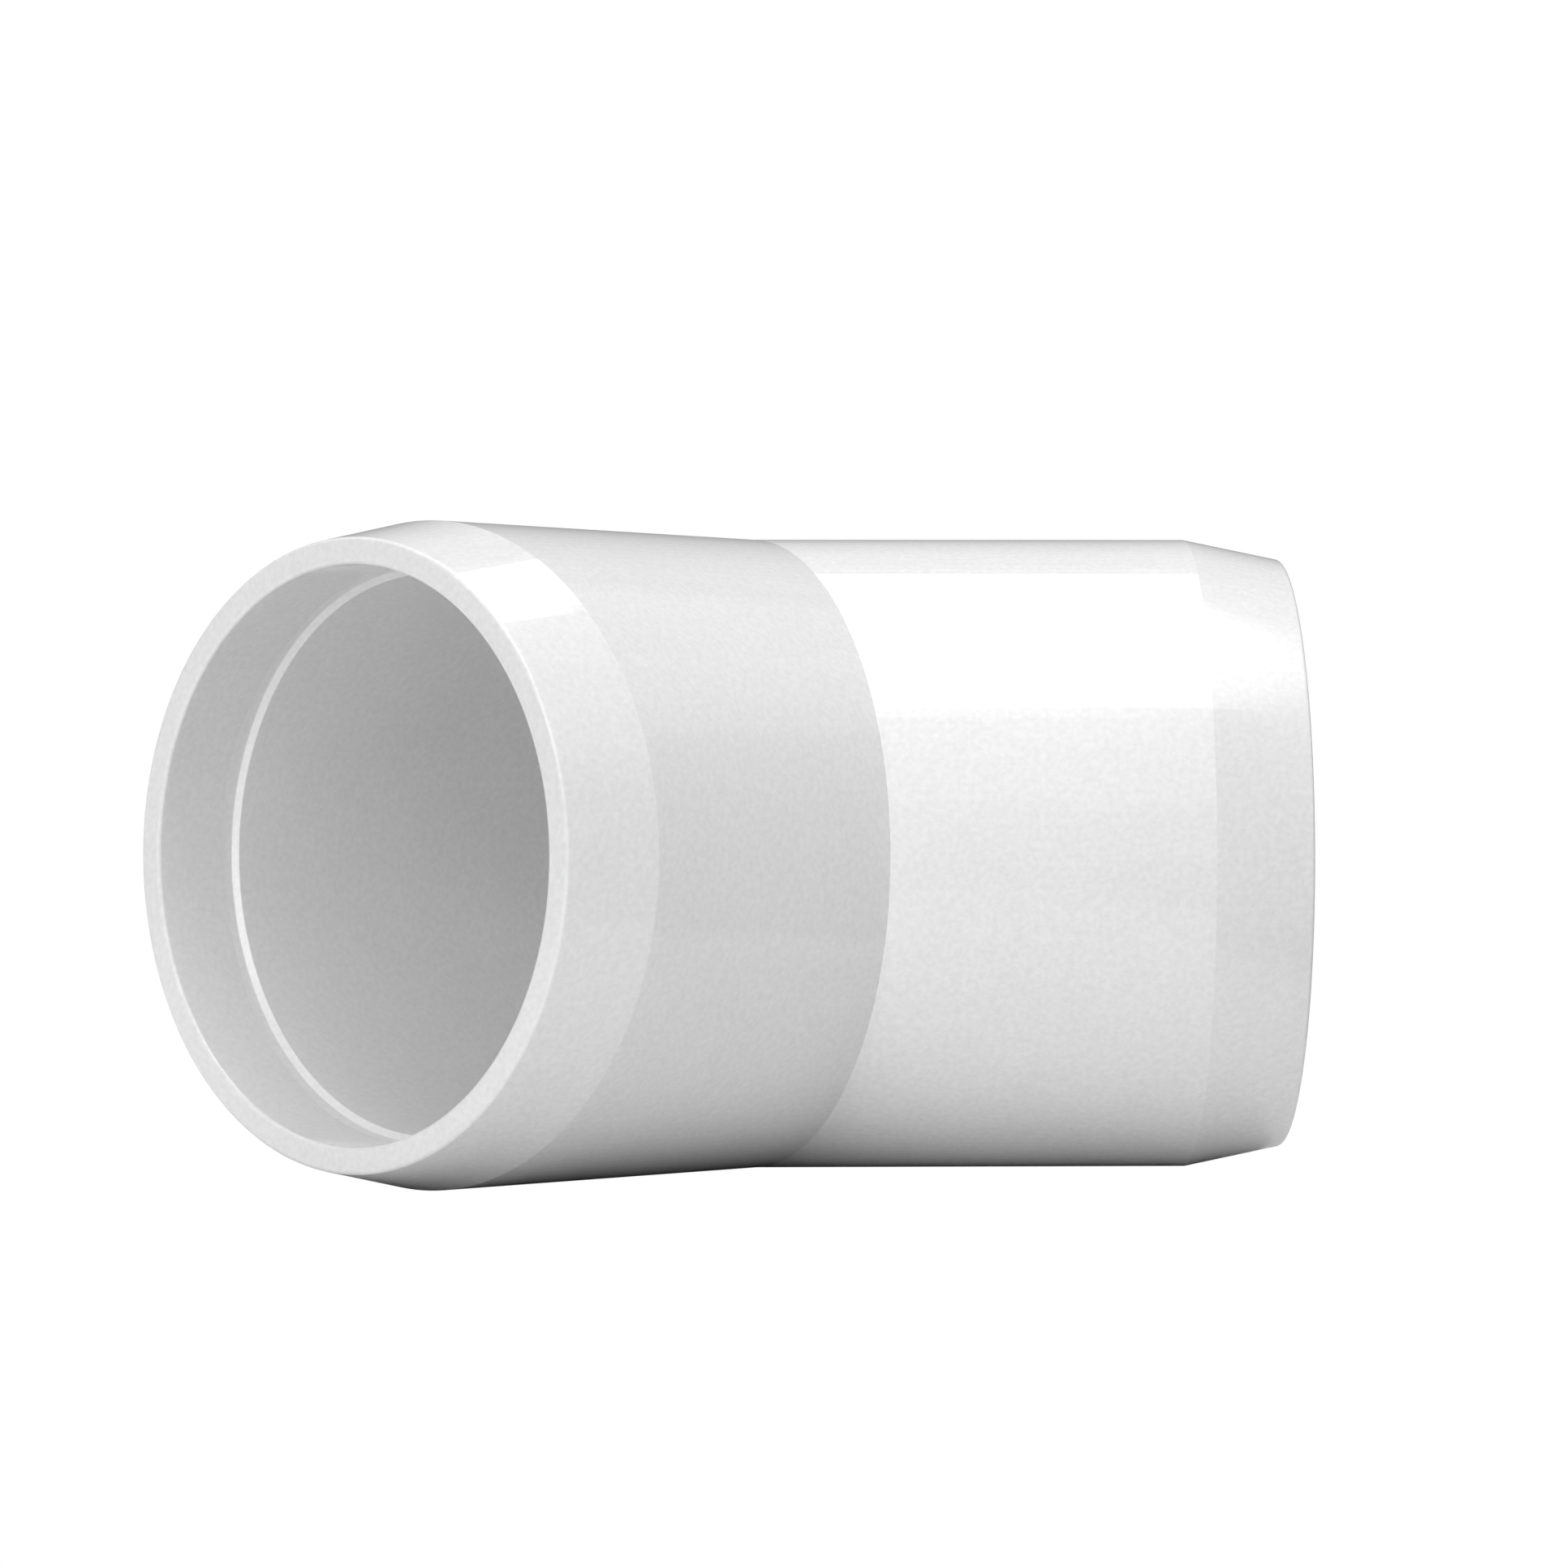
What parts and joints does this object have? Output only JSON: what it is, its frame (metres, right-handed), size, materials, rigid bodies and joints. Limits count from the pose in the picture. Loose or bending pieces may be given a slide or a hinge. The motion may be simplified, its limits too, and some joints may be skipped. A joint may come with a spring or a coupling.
{
  "type": "pipe elbow",
  "caption": "Moulded plastic pipe elbow that turns a run by 45 degrees, with a slip socket, tapered collar and entry relief at each end.",
  "frame": {"origin": "centre of the straight arm's mouth, in the plane of its rim", "axes": "+X along the straight arm's centreline and out of its mouth; the angled arm points to -X and -Y, 45 degrees off the line of the straight arm; +Z is square to both centrelines, so the fitting lies on its side with its lowest line at Z = -25.3 mm. The centrelines cross at X = -43 mm"},
  "size_m": [0.0901, 0.0724, 0.0506],
  "materials": {
    "white_pvc": "smooth glossy injection-moulded PVC, white"
  },
  "bodies": {
    "root": {"elbow_body": "white_pvc"}
  },
  "joints": []
}
